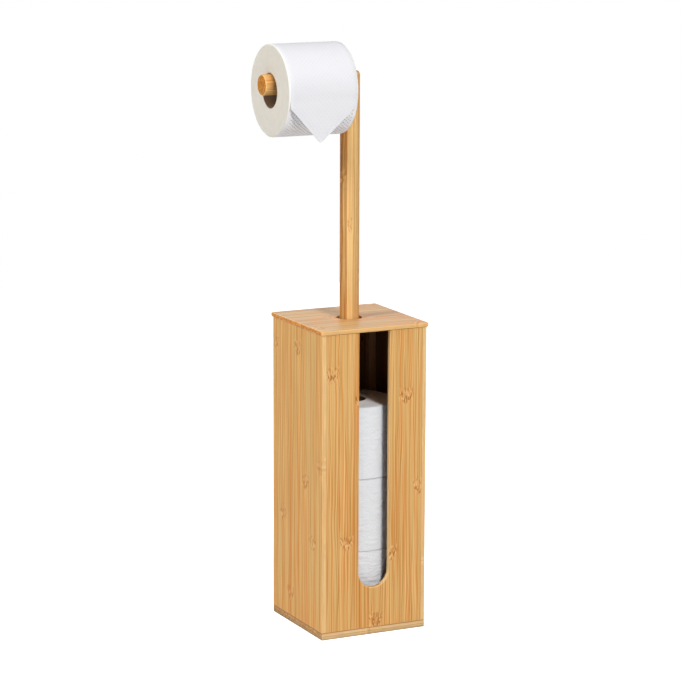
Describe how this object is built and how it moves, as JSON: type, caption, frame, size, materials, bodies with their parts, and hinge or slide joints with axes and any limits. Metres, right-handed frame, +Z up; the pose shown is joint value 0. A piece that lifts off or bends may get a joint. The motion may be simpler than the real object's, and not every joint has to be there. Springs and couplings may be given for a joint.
{
  "type": "toilet paper stand",
  "caption": "Free-standing bamboo toilet paper stand: a lidded square box with a front slot holds spare rolls on a round post, whose arm carries the roll in use.",
  "frame": {"origin": "middle of the base board's underside, on the floor, on the axis of the post", "axes": "+Z up along the post; the slotted front faces -Y; the arm and the roll in use point to -X"},
  "size_m": [0.2022, 0.154, 0.7707],
  "materials": {
    "bamboo": "clear satin lacquer on vertical-laminated bamboo",
    "bamboo_edge": "clear satin lacquer on vertical-laminated bamboo",
    "bamboo_lid": "clear satin lacquer on laminated bamboo",
    "bamboo_dowel": "clear satin lacquer on a turned bamboo bar",
    "batten_wood": "sanded, unfinished",
    "screw_steel": "zinc plated",
    "insert_brass": "machined",
    "tissue": "embossed soft tissue",
    "core_card": "grey-brown wound card"
  },
  "bodies": {
    "box": {"base_plate": "bamboo", "front_panel": "bamboo", "back_panel": "bamboo", "left_panel": "bamboo_edge", "right_panel": "bamboo_edge", "corner_batten_1": "batten_wood", "corner_batten_2": "batten_wood", "corner_batten_3": "batten_wood", "corner_batten_4": "batten_wood", "base_screws": "screw_steel", "post_socket": "batten_wood", "socket_screws": "screw_steel"},
    "post_and_arm": {"post": "bamboo_dowel", "arm": "bamboo_dowel", "arm_insert": "insert_brass", "arm_bolt": "screw_steel"},
    "lid": {"lid": "bamboo_lid", "lid_cleat_left": "batten_wood", "lid_cleat_right": "batten_wood", "cleat_screws": "screw_steel"},
    "roll": {"roll_paper": "tissue", "roll_core": "core_card", "roll_tail": "tissue"},
    "spare_roll_1": {"spare_paper_1": "tissue", "spare_core_1": "core_card"},
    "spare_roll_2": {"spare_paper_2": "tissue", "spare_core_2": "core_card"},
    "spare_roll_3": {"spare_paper_3": "tissue", "spare_core_3": "core_card"}
  },
  "joints": [
    {"name": "post_lift", "type": "slide", "parent": "box", "child": "post_and_arm", "axis": [0, 0, 1], "range_m": [0, 0.42]},
    {"name": "lid_lift", "type": "slide", "parent": "box", "child": "lid", "axis": [0, 0, 1], "range_m": [0, 0.2]},
    {"name": "roll_spin", "type": "hinge", "parent": "post_and_arm", "child": "roll", "pos_m": [-0.0652, 0, 0.7103], "axis": [1, 0, 0], "continuous": true},
    {"name": "spare_1_lift", "type": "slide", "parent": "box", "child": "spare_roll_1", "axis": [0, 0, 1], "range_m": [0, 0.03]},
    {"name": "spare_2_lift", "type": "slide", "parent": "spare_roll_1", "child": "spare_roll_2", "axis": [0, 0, 1], "range_m": [0, 0.03]},
    {"name": "spare_3_lift", "type": "slide", "parent": "spare_roll_2", "child": "spare_roll_3", "axis": [0, 0, 1], "range_m": [0, 0.03]}
  ]
}
